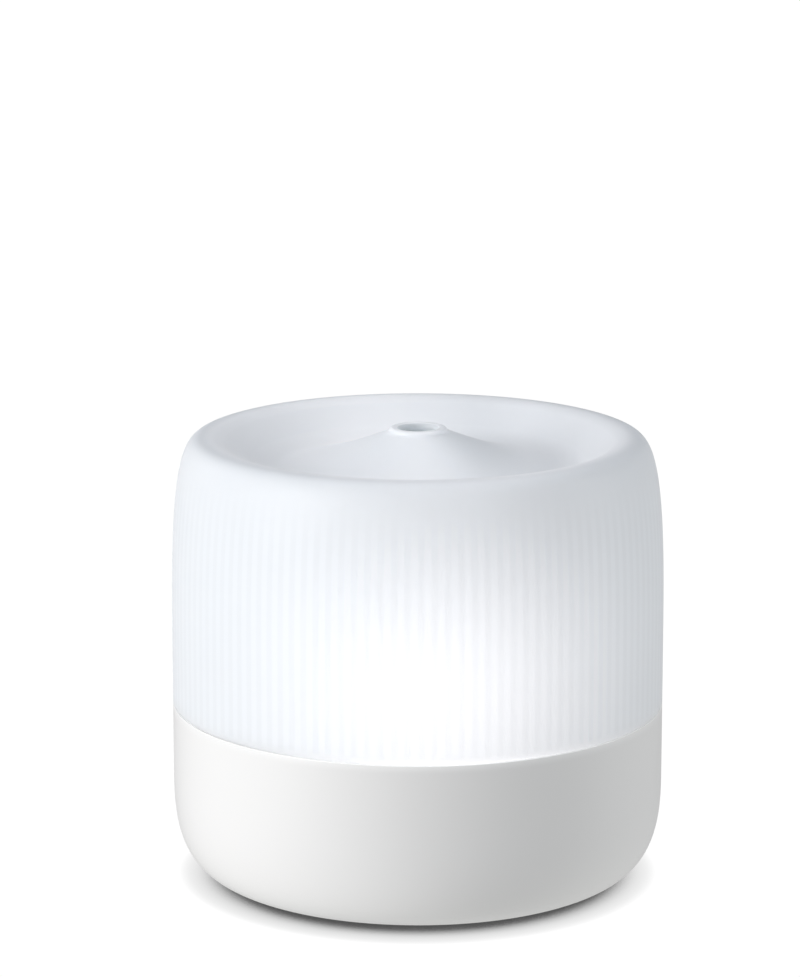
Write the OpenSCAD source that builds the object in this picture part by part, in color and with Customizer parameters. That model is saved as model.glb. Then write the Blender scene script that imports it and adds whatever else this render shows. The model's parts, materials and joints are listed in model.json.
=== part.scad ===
// Ultrasonic aroma diffuser: a white base with a water tank, under a lift-off frosted cover.
// Millimetres. Z is up from the surface that the feet stand on, and the Z axis is the body's axis.
// The front is -Y. The two buttons and the power inlet are at the rear, +Y.

/* [Body] */
// Outside diameter of the base and the cover
body_d = 120; // [119:0.5:122]
// Height of the seam between the base and the cover
seam_z = 43.7; // [43.4:0.1:45]
// Wall thickness of the base shell and the cover
wall = 2.2; // [2:0.1:2.4]
// Radius of the flat underside
foot_r = 42; // [41.5:0.1:42.5]
// Height that the rubber feet lift the base
foot_lift = 0.8; // [0.6:0.1:1.2]

/* [Cover] */
// Height of the rolled rim
crest_z = 109.5; // [106:0.1:116]
// Height of the mist outlet's lip above the rolled rim
lip_rise = 2.1; // [1.5:0.1:4]
// Depth of the dished top below the rolled rim
dish_depth = 7.3; // [5:0.1:8]
// Diameter of the mist outlet
outlet_d = 9.4; // [8.6:0.2:10.2]
// Number of flutes round the inside of the cover
flutes = 120; // [60:60:180]
// Depth of the flutes
flute_depth = 0.8; // [0.4:0.1:0.8]

/* [Tank] */
// Height of the tank's rim
tank_z = 62; // [58:0.5:63]
// Height of the tank's floor round the transducer
floor_z = 33; // [32.6:0.1:33.4]

/* [Buttons and inlet] */
// Distance between the two buttons
button_gap = 26; // [24:1:28]
// Height of the buttons
button_z = 28.5; // [28:0.1:29]
// Diameter of the button caps
button_d = 8; // [7:0.5:8.5]
// Height of the power inlet
inlet_z = 17; // [16.5:0.1:17.5]

/* [Hidden] */
$fn = 96;
eps = 0.01;

// Radii of the body, from the outside in
body_r = body_d / 2;
inner_r = body_r - wall;
flute_tip_r = inner_r - flute_depth;
collar_r = flute_tip_r - 0.6;

// Base: the corner is a superellipse from the flat underside up to the straight wall
corner_h = 26;
corner_power = 2.85;
rabbet_z = seam_z - 1.5;
rabbet_r = body_r - 1;
plate_top = foot_lift + 2;
ledge_h = 1.8;
ledge_r = foot_r - 1.8;

// Cover: the shoulder is a superellipse from the straight wall up to the rolled rim
cover_gap = 0.35;
cover_z = seam_z + cover_gap;
flange_z = seam_z + 0.05;
shoulder_w = 8.8;
shoulder_h = 54;
shoulder_power = 3.3;
crest_r = body_r - shoulder_w;
rim_r = 4.5;
rim_slope = 42;
valley_r = 37;
valley_z = crest_z - dish_depth;
lip_z = crest_z + lip_rise;
lip_r = 7.1;
lip_edge = 0.7;
cone_power = 1.35;
outlet_r = outlet_d / 2;
flute_bottom = cover_z + 1.2;
flute_top = crest_z - 10;

// Mist guide: a tube that hangs under the outlet and flares over the transducer
guide_wall = 1.7;
guide_top = lip_z - 2.4;
guide_bell_z = 66;
guide_bell_h = 20;
guide_bell_w = 14;
socket_r = outlet_r + guide_wall + 0.05;
socket_wall = 2.2;
socket_h = 8;

// Tank
tank_wall = 1.8;
tank_floor = 2;
tank_corner = 8;
gasket_h = 1.6;
floor_rise = 3;
well_r = 8;
well_socket_r = 11.3;
well_wall = 2.7;
well_bottom = 24.5;
piezo_ring = 16.6;
piezo_boss_r = 2.8;
piezo_pilot = 6;
boss_top_z = floor_z - 0.8;
water_z = 50;
mark_h = 0.8;
rib_half = 0.5;

// Wells on the base plate that meet bosses under the tank, one screw in each
post_ring = 33;
well_post_r = 3.9;
well_post_bore_r = 3;
well_shelf = 1.6;
boss_r = 3.5;
post_joint_z = 25;
post_pilot = 7.6;
pilot_r = 1.3;
screw_r = 1.25;
screw_hole_r = 1.6;

// Air path: fan, duct and tower stand in a row along this direction
air_angle = 135;
fan_at = 17;
fan_size = 30;
fan_h = 10;
fan_z = plate_top + 2.4;
fan_bore_r = 14;
fan_hole = 12;
tower_at = 38;
tower_r = 8.6;
tower_bore_r = 7.2;
tower_z = 60;
tower_foot_z = 28;
duct_wall = 1.3;
riser_bore_r = tower_r + 0.15;
riser_r = riser_bore_r + duct_wall;
intake_r = 10;
plenum_h = 6;

// Main board, in the quarter opposite the fan
board_angle = 315;
board_z = plate_top + 5.4;
board_t = 1.6;
board_near = 9;
board_far = 45;
board_half = 18;
board_screw_near = 13;
board_screw_far = 31;
board_screw_half = 14;
board_top = board_z + board_t;

// Light ring under the tank's floor
light_in_r = 20.2;
light_out_r = 27.2;
light_z = 26;
light_t = 1.6;
light_ring = 23.7;
light_start = 90;
light_boss_r = 2.4;
light_pilot = 5.2;
light_screw = 5;
lights = 9;

// Buttons and their board
button_r = button_d / 2;
button_gap_r = 0.3;
flange_y = body_r - 5.7;
switch_board_y = 45.8;
switch_board_t = 1.2;
switch_board_half = 24;
switch_half = 3;
switch_h = 3.4;
plunger_y = 49.2;
plunger_l = 2;
switch_screw_x = 21;

// Power inlet
inlet_face_y = body_r - 2.6;
inlet_r = 4;
inlet_recess_r = 6.2;
inlet_depth = 9;
inlet_bore_r = 3.15;
inlet_pin_r = 1.05;
inlet_tail_r = 0.8;

// Feet and screws
foot_ring = 33;
foot_pad_r = 4.5;
foot_pocket = 0.8;
foot_start = 45;

// ---- Outlines ----

function unit(v) = v / norm(v);

function left_of(a, b) = let (u = unit(b - a)) [-u[1], u[0]];

// Moves every point of an open outline to its left by d
function shifted(path, d) = [
    for (i = [0 : len(path) - 1])
        let (
            before = left_of(path[max(i - 1, 0)], path[max(i, 1)]),
            after = left_of(path[min(i, len(path) - 2)], path[min(i + 1, len(path) - 1)])
        )
        path[i] + d * unit(before + after)
];

function backwards(path) = [for (i = [len(path) - 1 : -1 : 0]) path[i]];

// Points of a circular arc in the plane
function arc(centre, r, from, to, steps) = [
    for (i = [0 : steps]) let (a = from + (to - from) * i / steps) centre + r * [cos(a), sin(a)]
];

// Base corner, from the flat underside to the straight wall
function base_corner(steps = 22) = [
    for (i = [0 : steps])
        let (t = 90 * i / steps)
        [
            foot_r + (body_r - foot_r) * pow(sin(t), 2 / corner_power),
            foot_lift + corner_h * (1 - pow(cos(t), 2 / corner_power))
        ]
];

// Cover shoulder, from the straight wall to the crest of the rolled rim
function cover_shoulder(steps = 22) = [
    for (i = [0 : steps])
        let (t = 90 * i / steps)
        [
            crest_r + shoulder_w * pow(cos(t), 2 / shoulder_power),
            crest_z - shoulder_h + shoulder_h * pow(sin(t), 2 / shoulder_power)
        ]
];

// Rolled rim, sloping inner wall and the fillet that brings it level in the valley.
// The straight stretch and the fillet's radius follow from the slope and the two ends.
rim_end = [crest_r - rim_r * sin(rim_slope), crest_z - rim_r * (1 - cos(rim_slope))];
dish_run = rim_end[0] - valley_r;
dish_drop = rim_end[1] - valley_z;
dish_solve = sin(rim_slope) * sin(rim_slope) - cos(rim_slope) * (1 - cos(rim_slope));
dish_straight = (dish_drop * sin(rim_slope) - dish_run * (1 - cos(rim_slope))) / dish_solve;
valley_fillet = (dish_run - dish_straight * cos(rim_slope)) / sin(rim_slope);

function cover_dish() = concat(
    arc([crest_r, crest_z - rim_r], rim_r, 90, 90 + rim_slope, 6),
    arc([valley_r, valley_z + valley_fillet], valley_fillet, 270 + rim_slope, 270, 6)
);

// Flank of the cone, from the valley up to the outlet's lip
function cover_cone(steps = 16) = [
    for (i = [1 : steps])
        let (s = i / steps, r = valley_r + (lip_r - valley_r) * s)
        [r, valley_z + (lip_z - lip_edge - valley_z) * pow(s, cone_power)]
];

function cover_outside() = concat([[body_r, cover_z]], cover_shoulder(), cover_dish(), cover_cone());

// ---- Shared pieces ----

// A tapping screw, head down, with its shank pointing up from z = 0
module screw(length, head_r = 2.4, head_h = 1.6) {
    translate([0, 0, -head_h]) difference() {
        cylinder(r = head_r, h = head_h);
        for (a = [0, 90]) rotate(a) translate([-head_r * 0.6, -0.3, -eps]) cube([head_r * 1.2, 0.6, 0.8]);
    }
    translate([0, 0, -eps]) cylinder(r = screw_r, h = length - 0.8 + eps);
    translate([0, 0, length - 0.8]) cylinder(r1 = screw_r, r2 = 0.5, h = 0.8);
}

// Puts children at n places round the axis
module round_axis(n, ring, start = 0) {
    for (i = [0 : n - 1]) rotate(start + 360 * i / n) translate([ring, 0, 0]) children();
}

// An upright cylinder from one height to another
module pillar(r, from, to) {
    translate([0, 0, from]) cylinder(r = r, h = to - from);
}

// Lies children down so that their Z points to the rear
module facing_rear() {
    rotate([-90, 0, 0]) children();
}

module posts_at(angle, u_list, v) {
    rotate(angle) for (u = u_list, side = [-1, 1]) translate([u, side * v, 0]) children();
}

module box_between(low, high) {
    translate(low) cube(high - low);
}

// Smooth points through a hand-chosen route
function bend(p, i, t) =
    let (
        a = p[max(i - 1, 0)], b = p[i], c = p[i + 1], d = p[min(i + 2, len(p) - 1)]
    )
    0.5 * (2 * b + (c - a) * t + (2 * a - 5 * b + 4 * c - d) * t * t + (3 * b - a - 3 * c + d) * t * t * t);

function smooth(p, per = 4) = concat(
    [for (i = [0 : len(p) - 2], k = [0 : per - 1]) bend(p, i, k / per)],
    [p[len(p) - 1]]
);

function heading(p, i) = unit(p[min(i + 1, len(p) - 1)] - p[max(i - 1, 0)]);

// A side direction that turns as little as it can along the route
function sides_of(p, i = 0, last = undef) =
    let (
        t = heading(p, i),
        guess = is_undef(last) ? (abs(t[2]) < 0.9 ? [0, 0, 1] : [1, 0, 0]) : last,
        side = unit(guess - (guess * t) * t)
    )
    i == len(p) - 1 ? [side] : concat([side], sides_of(p, i + 1, side));

// One insulated wire along a route, set off to one side of it
module wire(route, r, offset, sides = 8) {
    q = smooth(route);
    s = sides_of(q);
    p = [for (i = [0 : len(q) - 1]) q[i] + offset * s[i]];
    n = len(p);
    rings = [
        for (i = [0 : n - 1], k = [0 : sides - 1])
            let (a = 360 * k / sides, t = heading(q, i))
            p[i] + r * (cos(a) * s[i] + sin(a) * cross(t, s[i]))
    ];
    walls = [
        for (i = [0 : n - 2], k = [0 : sides - 1])
            let (k2 = (k + 1) % sides)
            [i * sides + k, (i + 1) * sides + k, (i + 1) * sides + k2, i * sides + k2]
    ];
    polyhedron(
        points = rings,
        faces = concat(walls, [[for (k = [0 : sides - 1]) k]],
            [[for (k = [sides - 1 : -1 : 0]) (n - 1) * sides + k]])
    );
}

module lead_pair(route) {
    for (side = [-1, 1]) wire(route, lead_r, side * (lead_r + 0.03));
}

// ---- Cover ----

module flute_ring() {
    half = 180 / flutes;
    difference() {
        circle(r = inner_r + wall / 2);
        polygon([
            for (i = [0 : flutes - 1], side = [0, 1])
                let (a = (2 * i + side) * half, r = side == 0 ? inner_r + 0.02 : flute_tip_r)
                r * [cos(a), sin(a)]
        ]);
    }
}

// Everything inside the middle of the cover's wall, so that the flutes end within it
module inside_cover() {
    rotate_extrude() polygon(concat([[0, cover_z]],
        shifted(concat([[body_r, cover_z]], cover_shoulder()), wall / 2),
        [[0, crest_z - wall / 2]]));
}

module cover() {
    outside = cover_outside();
    inside = shifted(outside, wall);
    color("aliceblue") difference() {
        union() {
            rotate_extrude() polygon(concat(
                outside,
                arc([lip_r - lip_edge, lip_z - lip_edge], lip_edge, 0, 90, 3),
                arc([outlet_r + lip_edge, lip_z - lip_edge], lip_edge, 90, 180, 3),
                [[outlet_r, guide_top], [lip_r, guide_top]],
                backwards([for (p = inside) if (p[0] > lip_r + 0.5 && p[1] > cover_z + eps) p]),
                [[inner_r, cover_z]]
            ));
            intersection() {
                inside_cover();
                translate([0, 0, flute_bottom]) linear_extrude(flute_top - flute_bottom) flute_ring();
            }
            // Socket for the mist guide, under the lip
            rotate_extrude() polygon([
                [outlet_r + 0.3, guide_top - 0.4], [outlet_r + 0.3, guide_top + 0.6],
                [lip_r + 0.4, guide_top + 0.2], [socket_r + socket_wall, guide_top - 1.6],
                [socket_r + socket_wall, guide_top - socket_h], [socket_r - 0.1, guide_top - socket_h],
                [socket_r - 0.1, guide_top - 0.4]
            ]);
        }
        translate([0, 0, guide_top - 20]) cylinder(r = socket_r, h = 20);
    }
}

module mist_guide() {
    tube = outlet_r + guide_wall;
    bell = [
        for (i = [0 : 8])
            let (s = i / 8)
            [tube + guide_bell_w * s * s, guide_bell_z + guide_bell_h * (1 - s)]
    ];
    color("whitesmoke") rotate_extrude() polygon(concat(
        [[outlet_r, guide_top], [tube, guide_top]],
        bell,
        backwards(shifted(bell, -guide_wall))
    ));
}

// ---- Tank ----

tank_in_r = collar_r - tank_wall;

function tank_inside() = concat(
    [[well_r, floor_z], [14, floor_z + 0.2]],
    arc([tank_in_r - tank_corner, floor_z + floor_rise + tank_corner], tank_corner, 275, 360, 8),
    [[tank_in_r, tank_z]]
);

module on_air_line(at) {
    rotate(air_angle) translate([at, 0, 0]) children();
}

module tank_bowl() {
    inside = tank_inside();
    outside = shifted(inside, -tank_floor);
    corner_top = floor_z + floor_rise + tank_corner;
    flange_r = rabbet_r - 0.1;
    rotate_extrude() polygon(concat(
        inside,
        [[collar_r, tank_z], [collar_r, flange_z], [flange_r, flange_z]],
        [[flange_r, rabbet_z], [collar_r, rabbet_z]],
        backwards([for (p = outside) if (p[1] < corner_top - 1) [min(p[0], collar_r), p[1]]])
    ));
}

module water_tank() {
    light_boss_z = light_z + light_t;
    color("white") difference() {
        union() {
            tank_bowl();
            // Socket for the transducer and the bosses round it
            rotate_extrude() polygon([
                [well_socket_r, well_bottom], [well_socket_r + well_wall, well_bottom],
                [well_socket_r + well_wall, floor_z - 0.5], [well_r, floor_z - 0.5],
                [well_r, floor_z - tank_floor - 0.2], [well_socket_r, floor_z - tank_floor - 0.2]
            ]);
            round_axis(3, piezo_ring, 90) pillar(piezo_boss_r, well_bottom, boss_top_z);
            round_axis(3, light_ring, light_start) pillar(light_boss_r, light_boss_z, boss_top_z);
            round_axis(4, post_ring) pillar(boss_r, post_joint_z, floor_z);
            // Ribs that sit between the cover's flutes and stop it turning
            round_axis(3, 0) box_between([collar_r - 0.4, -rib_half, cover_z + 1.4],
                [inner_r - 0.5, rib_half, cover_z + 9]);
            // Mark for the highest water level
            rotate(-30) rotate_extrude(angle = 60)
                translate([tank_in_r - 0.5, water_z - mark_h / 2]) square([1, mark_h]);
        }
        on_air_line(tower_at) pillar(tower_r + 0.05, floor_z - 10, tank_z);
        round_axis(3, piezo_ring, 90) pillar(pilot_r, well_bottom - eps, well_bottom + piezo_pilot);
        round_axis(3, light_ring, light_start) pillar(pilot_r, light_z, light_z + light_pilot);
        round_axis(4, post_ring) pillar(pilot_r, post_joint_z - eps, post_joint_z + post_pilot);
    }
}

// Air tower, a tube bonded into the tank's floor, with a slanted mouth open towards the middle
module air_tower() {
    color("white") on_air_line(tower_at) difference() {
        pillar(tower_r, tower_foot_z, tower_z);
        pillar(tower_bore_r, tower_foot_z - 1, tower_z + 1);
        translate([-tower_r - 1, 0, tower_z - 6]) rotate([0, -22, 0]) translate([-10, -15, 0])
            cube([40, 30, 20]);
    }
}

module tank_gasket() {
    color("dimgray") rotate_extrude() translate([collar_r + 0.05, rabbet_z - gasket_h])
        square([inner_r - collar_r - 0.1, gasket_h]);
}

// ---- Transducer, from the top: seal, disc, retainer ----

disc_r = 10;
disc_z = floor_z - 3.8;
disc_t = 1.2;
seal_top = floor_z - tank_floor - 0.2;
seal_bottom = disc_z - 0.6;
retainer_t = 1.5;

module piezo_disc() {
    color("silver") translate([0, 0, disc_z]) cylinder(r = disc_r, h = disc_t);
}

module piezo_seal() {
    color("lightgray") rotate_extrude() polygon([
        [well_r + 0.4, seal_bottom], [well_socket_r - 0.1, seal_bottom], [well_socket_r - 0.1, seal_top],
        [well_r + 0.4, seal_top], [well_r + 0.4, disc_z + disc_t], [disc_r, disc_z + disc_t],
        [disc_r, disc_z], [well_r + 0.4, disc_z]
    ]);
}

module piezo_retainer() {
    ring = well_socket_r - 0.15;
    color("gainsboro") difference() {
        union() {
            pillar(ring, well_bottom - retainer_t, seal_bottom);
            pillar(14, well_bottom - retainer_t, well_bottom);
            round_axis(3, piezo_ring, 90) pillar(piezo_boss_r, well_bottom - retainer_t, well_bottom);
        }
        translate([0, 0, well_bottom - 2]) cylinder(r = 8.6, h = 10);
        round_axis(3, piezo_ring, 90) pillar(screw_hole_r, well_bottom - 2, well_bottom + 1);
    }
}

module piezo_screws() {
    color("silver") round_axis(3, piezo_ring, 90) translate([0, 0, well_bottom - retainer_t])
        screw(6, 2.2, 1.3);
}

// ---- Light ring ----

module light_board() {
    color("honeydew") difference() {
        translate([0, 0, light_z]) cylinder(r = light_out_r, h = light_t);
        translate([0, 0, light_z - 1]) cylinder(r = light_in_r, h = light_t + 2);
        round_axis(3, light_ring, light_start) pillar(screw_hole_r, light_z - 1, light_z + light_t + 1);
    }
}

module light_chips() {
    color("lemonchiffon") for (i = [0 : lights - 1]) if (i % 3 != 0)
        rotate(light_start + 360 * i / lights) translate([light_ring, 0, light_z + light_t]) {
            translate([-1.75, -1.4, 0]) cube([3.5, 2.8, 1.2]);
            translate([0, 0, 1.2 - eps]) cylinder(r1 = 1.2, r2 = 0.9, h = 0.5);
        }
}

module light_board_screws() {
    color("silver") round_axis(3, light_ring, light_start) translate([0, 0, light_z])
        screw(light_screw, 2.2, 1.3);
}

// ---- Base ----

module base_outline() {
    outside = base_corner();
    inside = shifted(outside, wall);
    polygon(concat(
        outside,
        arc([body_r - 0.8, seam_z - 0.8], 0.8, 0, 90, 4),
        [[rabbet_r, seam_z], [rabbet_r, rabbet_z], [inner_r, rabbet_z]],
        backwards(inside)
    ));
}

// Everything inside the middle of the wall, so that bosses end within it
module inside_wall() {
    rotate_extrude() polygon(concat([[0, foot_lift]], shifted(base_corner(), wall / 2),
        [[body_r - wall / 2, rabbet_z - 3], [0, rabbet_z - 3]]));
}

module at_buttons() {
    for (side = [-1, 1]) translate([side * button_gap / 2, 0, button_z]) facing_rear() children();
}

module at_switch_screws() {
    for (x = [-switch_screw_x, switch_screw_x]) translate([x, 0, button_z]) facing_rear() children();
}

module base_shell() {
    color("white") difference() {
        union() {
            rotate_extrude() base_outline();
            rotate_extrude() translate([ledge_r, plate_top]) square([foot_r + 3 - ledge_r, ledge_h]);
            intersection() {
                inside_wall();
                union() {
                    at_buttons() pillar(button_r + 2.2, flange_y + 0.3, body_r);
                    translate([0, 0, inlet_z]) facing_rear() pillar(7, inlet_face_y - 3.6, body_r);
                    at_switch_screws() pillar(2.6, switch_board_y + switch_board_t, body_r);
                }
            }
        }
        at_buttons() pillar(button_r + button_gap_r, 40, body_r + 1);
        translate([0, 0, inlet_z]) facing_rear() {
            pillar(inlet_recess_r, inlet_face_y, body_r + 1);
            pillar(inlet_r + 0.1, 40, body_r);
        }
        at_switch_screws() pillar(pilot_r, switch_board_y, switch_board_y + 7);
    }
}

module base_plate() {
    color("white") difference() {
        union() {
            pillar(foot_r - 0.3, foot_lift, plate_top);
            round_axis(4, post_ring) pillar(well_post_r, foot_lift + 0.5, post_joint_z);
            posts_at(air_angle, [fan_at - fan_hole, fan_at + fan_hole], fan_hole)
                translate([0, 0, foot_lift + 0.5]) cylinder(r = 2.8, h = fan_z - foot_lift - 0.5);
            posts_at(board_angle, [board_screw_near, board_screw_far], board_screw_half)
                translate([0, 0, foot_lift + 0.5]) cylinder(r = 2.6, h = board_z - foot_lift - 0.5);
        }
        round_axis(4, post_ring) {
            pillar(well_post_bore_r, foot_lift - 1, post_joint_z - well_shelf);
            pillar(screw_hole_r, foot_lift, post_joint_z + 1);
        }
        round_axis(4, foot_ring, foot_start) pillar(foot_pad_r + 0.1, foot_lift - 1, foot_lift + foot_pocket);
        posts_at(air_angle, [fan_at - fan_hole, fan_at + fan_hole], fan_hole)
            translate([0, 0, foot_lift + 1.2]) cylinder(r = pilot_r, h = 6);
        posts_at(board_angle, [board_screw_near, board_screw_far], board_screw_half)
            translate([0, 0, foot_lift + 1.2]) cylinder(r = pilot_r, h = 12);
        // Air intake under the fan
        on_air_line(fan_at) for (v = [-8.4 : 2.8 : 8.4])
            let (half = sqrt(intake_r * intake_r - v * v))
            translate([-half, v - 0.8, foot_lift - 1]) cube([2 * half, 1.6, 6]);
    }
}

module base_plate_screws() {
    color("silver") round_axis(4, post_ring) translate([0, 0, post_joint_z - well_shelf])
        screw(8.5, 2.7, 1.7);
}

module rubber_feet() {
    top = foot_lift + foot_pocket;
    color("dimgray") round_axis(4, foot_ring, foot_start) rotate_extrude()
        polygon([[0, 0], [foot_pad_r - 0.5, 0], [foot_pad_r, 0.5], [foot_pad_r, top], [0, top]]);
}

// ---- Fan ----

module fan_frame() {
    color("#333333") on_air_line(fan_at) translate([0, 0, fan_z]) {
        linear_extrude(fan_h) difference() {
            square(fan_size, center = true);
            circle(r = fan_bore_r);
            for (x = [-fan_hole, fan_hole], y = [-fan_hole, fan_hole]) translate([x, y]) circle(r = 1.5);
        }
        difference() {
            union() {
                cylinder(r = 7, h = 1.2);
                for (a = [30 : 120 : 270]) rotate(a) translate([0, -1, 0]) cube([fan_bore_r + 0.4, 2, 1.2]);
            }
            translate([0, 0, -1]) cylinder(r = 1.62, h = 4);
        }
    }
}

module fan_bush() {
    color("goldenrod") on_air_line(fan_at) translate([0, 0, fan_z]) difference() {
        cylinder(r = 1.6, h = 6);
        translate([0, 0, 0.6]) cylinder(r = 0.8, h = 8);
    }
}

module fan_stator() {
    color("peru") on_air_line(fan_at) translate([0, 0, fan_z + 1.3]) difference() {
        cylinder(r = 4.3, h = 4.6);
        translate([0, 0, -1]) cylinder(r = 1.65, h = 8);
        for (a = [45 : 90 : 315]) rotate(a) translate([2.4, -0.5, -1]) cube([4, 1, 8]);
    }
}

module fan_screws() {
    color("silver") posts_at(air_angle, [fan_at - fan_hole, fan_at + fan_hole], fan_hole)
        translate([0, 0, fan_z + fan_h]) mirror([0, 0, 1]) screw(12, 2.4, 1.4);
}

module fan_rotor() {
    color("#333333") on_air_line(fan_at) translate([0, 0, fan_z]) difference() {
        union() {
            translate([0, 0, 1.6]) cylinder(r = 6.4, h = 7.4);
            intersection() {
                translate([0, 0, 2]) difference() {
                    cylinder(r = fan_bore_r - 0.7, h = 6.6);
                    translate([0, 0, -1]) cylinder(r = 6.1, h = 9);
                }
                for (a = [0 : 360 / 7 : 359]) rotate(a) translate([5, 0, 5.3]) rotate([38, 0, 0])
                    translate([0, -6, -0.4]) cube([10, 12, 0.8]);
            }
        }
        translate([0, 0, 1]) cylinder(r = 5.5, h = 6.8);
        translate([0, 0, 5]) cylinder(r = 0.75, h = 3.6);
    }
}

module fan_magnet() {
    color("gray") on_air_line(fan_at) translate([0, 0, fan_z + 2]) difference() {
        cylinder(r = 5.5, h = 5);
        translate([0, 0, -1]) cylinder(r = 4.7, h = 7);
    }
}

module fan_shaft() {
    color("silver") on_air_line(fan_at) translate([0, 0, fan_z + 0.9]) cylinder(r = 0.75, h = 7.7);
}

// Plenum over the fan and a riser round the foot of the tank's tower
module air_duct() {
    low = fan_z + fan_h;
    top = low + plenum_h;
    half = fan_size / 2;
    throat = tower_r - 1;
    color("whitesmoke") rotate(air_angle) difference() {
        union() {
            box_between([fan_at - half, -half, low], [fan_at + half, half, top]);
            box_between([fan_at + half - 1, -tower_r, low], [tower_at, tower_r, top]);
            translate([tower_at, 0, low]) cylinder(r = riser_r, h = 31.4 - low);
        }
        box_between([fan_at - half + duct_wall, -half + duct_wall, low - 1],
            [fan_at + half - duct_wall, half - duct_wall, top - duct_wall]);
        box_between([fan_at, -throat, low + duct_wall], [tower_at, throat, top - duct_wall]);
        translate([tower_at, 0, low + duct_wall]) cylinder(r = riser_bore_r, h = 40);
        // Room for the heads of the fan's screws
        for (u = [fan_at - fan_hole, fan_at + fan_hole], v = [-fan_hole, fan_hole])
            translate([u, v, low - 1]) cylinder(r = 2.7, h = 2.6);
    }
}

// ---- Electronics ----

module on_board(u, v) {
    rotate(board_angle) translate([u, v, board_top]) children();
}

module main_board() {
    color("seagreen") rotate(board_angle) difference() {
        box_between([board_near, -board_half, board_z], [board_far, board_half, board_top]);
        for (u = [board_screw_near, board_screw_far], v = [-board_screw_half, board_screw_half])
            translate([u, v, board_z - 1]) cylinder(r = 1.5, h = 4);
    }
}

module board_screws() {
    color("silver") posts_at(board_angle, [board_screw_near, board_screw_far], board_screw_half)
        translate([0, 0, board_top]) mirror([0, 0, 1]) screw(7, 2.3, 1.4);
}

module capacitors() {
    color("slategray") for (v = [-6, 6]) on_board(40, v) {
        cylinder(r = 4, h = 9.4);
        translate([0, 0, 9.4 - eps]) cylinder(r1 = 4, r2 = 3.6, h = 0.5);
    }
}

module power_coil() {
    color("peru") on_board(22.5, 7.8) {
        cylinder(r = 4.2, h = 1);
        translate([0, 0, 1 - eps]) cylinder(r = 3.2, h = 4);
        translate([0, 0, 5 - 2 * eps]) cylinder(r = 4.2, h = 1);
    }
}

module heat_sink() {
    color("lightsteelblue") on_board(23, -9) {
        translate([-5, -4, 0]) cube([10, 1.5, 10]);
        for (x = [-5, -2.8, -0.6, 1.6, 3.8]) translate([x, -2.5 - eps, 0]) cube([1.2, 6, 10]);
    }
}

module driver_chips() {
    color("#333333") {
        on_board(33, 0) translate([-2.5, -4, 0]) cube([5, 8, 1.6]);
        on_board(15, 6) translate([-2, -2.5, 0]) cube([4, 5, 1.5]);
        on_board(31, -8) translate([-1.5, -2.5, 0]) cube([3, 5, 1.5]);
    }
}

// Where each lead meets the main board, along and across the board
plugs = [[19, 15.5], [13, -7], [12, 0], [27, 0], [25, 15.5]];
plug_h = 5;

module connectors() {
    color("ivory") for (at = plugs) on_board(at[0], at[1]) difference() {
        translate([-2.5, -2.2, 0]) cube([5, 4.4, plug_h]);
        translate([-1.9, -1.6, plug_h - 0.8]) cube([3.8, 3.2, 2]);
    }
}

// ---- Buttons ----

module at_button(side) {
    translate([side * button_gap / 2, 0, button_z]) facing_rear() children();
}

module button(side) {
    color("white") {
        intersection() {
            at_button(side) translate([0, 0, flange_y - eps]) cylinder(r = button_r, h = 8);
            cylinder(r = body_r + 0.4, h = 60);
        }
        at_button(side) translate([0, 0, flange_y - 1]) cylinder(r = button_r + 1.2, h = 1);
        at_button(side) translate([0, 0, plunger_y + plunger_l])
            cylinder(r = 2.2, h = flange_y - 1 - plunger_y - plunger_l + eps);
    }
}

module plunger(side) {
    color("#333333") at_button(side) translate([0, 0, plunger_y]) cylinder(r = 1.7, h = plunger_l);
}

module mist_button() { button(-1); }
module light_button() { button(1); }
module mist_switch_plunger() { plunger(-1); }
module light_switch_plunger() { plunger(1); }

module switch_board() {
    color("seagreen") difference() {
        box_between([-switch_board_half, switch_board_y, button_z - 4.7],
            [switch_board_half, switch_board_y + switch_board_t, button_z + 4.2]);
        at_switch_screws() pillar(screw_hole_r, switch_board_y - 1, switch_board_y + 3);
    }
}

module switch_housings() {
    low = switch_board_y + switch_board_t;
    color("#333333") at_buttons() translate([0, 0, low]) difference() {
        translate([-switch_half, -switch_half, 0]) cube([2 * switch_half, 2 * switch_half, switch_h]);
        translate([0, 0, switch_h - 2]) cylinder(r = 1.8, h = 3);
    }
}

module switch_board_screws() {
    color("silver") at_switch_screws() translate([0, 0, switch_board_y]) screw(6, 2.2, 1.3);
}

// ---- Power inlet ----

module power_inlet() {
    color("#333333") translate([0, 0, inlet_z]) facing_rear() difference() {
        union() {
            translate([0, 0, inlet_face_y]) cylinder(r = inlet_r + 1.4, h = 1);
            pillar(inlet_r, inlet_face_y - inlet_depth - 2, inlet_face_y + eps);
        }
        translate([0, 0, inlet_face_y - inlet_depth]) cylinder(r = inlet_bore_r, h = 20);
        translate([0, 0, inlet_face_y - inlet_depth - 3]) cylinder(r = inlet_tail_r, h = 4);
        translate([2.2, -0.3, inlet_face_y - inlet_depth - 3]) cube([0.7, 0.6, 4]);
    }
}

// Centre pin, side spring and the two terminals that the inlet's lead is soldered to
module inlet_contacts() {
    floor_y = inlet_face_y - inlet_depth;
    color("silver") translate([0, 0, inlet_z]) facing_rear() {
        translate([0, 0, floor_y]) cylinder(r = inlet_pin_r, h = inlet_depth - 0.6);
        translate([0, 0, floor_y - 4.6]) cylinder(r = inlet_tail_r, h = 4.6 + eps);
        translate([2.2, -0.3, floor_y - 4.6]) cube([0.7, 0.6, inlet_depth]);
    }
}

module inlet_nut() {
    color("silver") translate([0, 0, inlet_z]) facing_rear() difference() {
        pillar(6, inlet_face_y - 5.6, inlet_face_y - 3.6, $fn = 6);
        pillar(inlet_r + 0.05, inlet_face_y - 7, inlet_face_y - 2);
    }
}

// ---- Leads inside the base ----

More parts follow.
